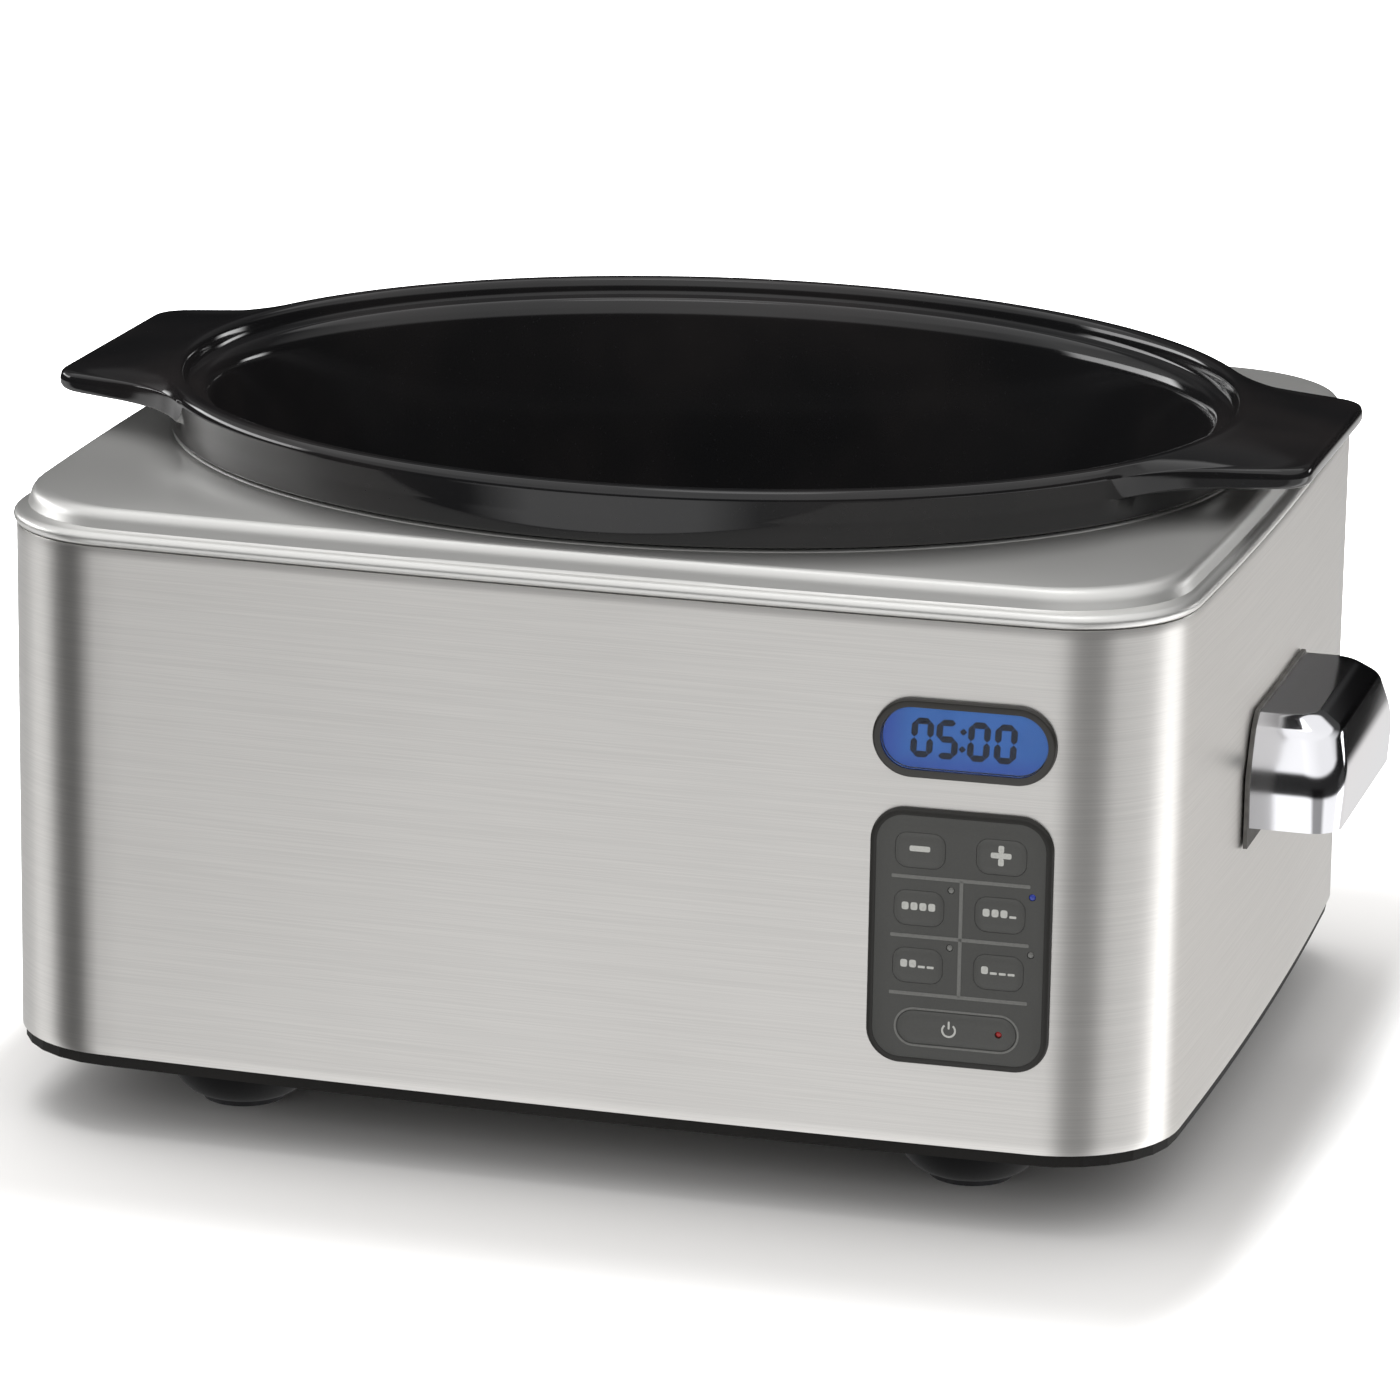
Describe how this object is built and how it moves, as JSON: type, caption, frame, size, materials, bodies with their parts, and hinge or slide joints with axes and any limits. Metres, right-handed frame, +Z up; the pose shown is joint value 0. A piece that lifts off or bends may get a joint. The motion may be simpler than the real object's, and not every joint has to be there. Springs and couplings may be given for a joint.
{
  "type": "slow cooker",
  "caption": "Countertop slow cooker: rectangular steel housing on bowl feet, lift-out oval crock with end wings, side handles, keypad and lit display.",
  "frame": {"origin": "on the table under the feet, below the middle of the housing", "axes": "+Z up; the front face with the keypad looks towards -Y; +X runs along the width, towards the keypad's side"},
  "size_m": [0.4056, 0.3045, 0.2031],
  "materials": {
    "backlight_plastic": "white diffuser",
    "base_plastic": "moulded black, light texture",
    "bezel_plastic": "polished black",
    "brass_tab": "plain",
    "brushed_wrap": "fine horizontal brushing, satin",
    "circuit_board": "solder mask",
    "clear_pipe": "clear acrylic",
    "clear_window": "clear",
    "copper_winding": "varnished winding",
    "cover_steel": "drawn steel, satin with bright rolled edges",
    "gasket_rubber": "matte",
    "glass_wool": "matted fibre",
    "glazed_stoneware": "black gloss glaze, opaque",
    "handle_chrome": "polished",
    "inner_plastic": "moulded",
    "key_plastic": "satin grey",
    "keypad_plastic": "satin grey",
    "lcd_panel": "lit blue panel with dark digits",
    "lead_sleeve": "silicone sleeve",
    "mica_heater": "mica and nickel ribbon",
    "pad_rubber": "matte",
    "pan_aluminium": "mill finish",
    "zinc_fastener": "zinc plated"
  },
  "bodies": {
    "housing": {"outer_wrap": "brushed_wrap", "top_cover": "cover_steel", "base_pan": "base_plastic", "foot_front_left": "base_plastic", "foot_front_right": "base_plastic", "foot_rear_left": "base_plastic", "foot_rear_right": "base_plastic", "foot_pads": "pad_rubber", "foot_screws": "zinc_fastener", "heating_pan": "pan_aluminium", "pan_posts": "zinc_fastener", "base_screws": "zinc_fastener", "heater_band": "mica_heater", "heater_tabs": "brass_tab", "insulation": "glass_wool", "reflector": "pan_aluminium", "temperature_sensor": "inner_plastic", "sensor_clip": "zinc_fastener", "thermal_fuse": "inner_plastic", "fuse_clip": "zinc_fastener", "handle_left": "handle_chrome", "handle_right": "handle_chrome", "handle_gasket_left": "gasket_rubber", "handle_gasket_right": "gasket_rubber", "handle_screws": "zinc_fastener", "display_bezel": "bezel_plastic", "display_window": "clear_window", "lcd_glass": "lcd_panel", "lcd_backlight": "backlight_plastic", "keypad_panel": "keypad_plastic", "light_pipes": "clear_pipe", "indicator_leds": "backlight_plastic", "key_switches": "inner_plastic", "control_board": "circuit_board", "board_screws": "zinc_fastener", "control_housing": "inner_plastic", "housing_screws": "zinc_fastener", "power_board": "circuit_board", "power_board_screws": "zinc_fastener", "transformer": "copper_winding", "relay": "inner_plastic", "capacitors": "inner_plastic", "terminal_block": "inner_plastic", "cord_gland": "base_plastic", "gland_nut": "base_plastic", "mains_leads": "lead_sleeve", "heater_leads": "lead_sleeve", "control_loom": "lead_sleeve"},
    "crock": {"crock": "glazed_stoneware"},
    "key_minus": {"key_minus": "key_plastic"},
    "key_plus": {"key_plus": "key_plastic"},
    "key_high": {"key_high": "key_plastic"},
    "key_low": {"key_low": "key_plastic"},
    "key_simmer": {"key_simmer": "key_plastic"},
    "key_warm": {"key_warm": "key_plastic"},
    "key_power": {"key_power": "key_plastic"}
  },
  "joints": [
    {"name": "crock_lift", "type": "slide", "parent": "housing", "child": "crock", "axis": [0, 0, 1], "range_m": [0, 0.16]},
    {"name": "key_minus_press", "type": "slide", "parent": "housing", "child": "key_minus", "axis": [-0.0274, 0.9996, 0], "range_m": [0, 0.0008], "stiffness_N_per_m": 1500},
    {"name": "key_plus_press", "type": "slide", "parent": "housing", "child": "key_plus", "axis": [-0.0274, 0.9996, 0], "range_m": [0, 0.0008], "stiffness_N_per_m": 1500},
    {"name": "key_high_press", "type": "slide", "parent": "housing", "child": "key_high", "axis": [-0.0274, 0.9996, 0], "range_m": [0, 0.0008], "stiffness_N_per_m": 1500},
    {"name": "key_low_press", "type": "slide", "parent": "housing", "child": "key_low", "axis": [-0.0274, 0.9996, 0], "range_m": [0, 0.0008], "stiffness_N_per_m": 1500},
    {"name": "key_simmer_press", "type": "slide", "parent": "housing", "child": "key_simmer", "axis": [-0.0274, 0.9996, 0], "range_m": [0, 0.0008], "stiffness_N_per_m": 1500},
    {"name": "key_warm_press", "type": "slide", "parent": "housing", "child": "key_warm", "axis": [-0.0274, 0.9996, 0], "range_m": [0, 0.0008], "stiffness_N_per_m": 1500},
    {"name": "key_power_press", "type": "slide", "parent": "housing", "child": "key_power", "axis": [-0.0274, 0.9996, 0], "range_m": [0, 0.0008], "stiffness_N_per_m": 1500}
  ]
}
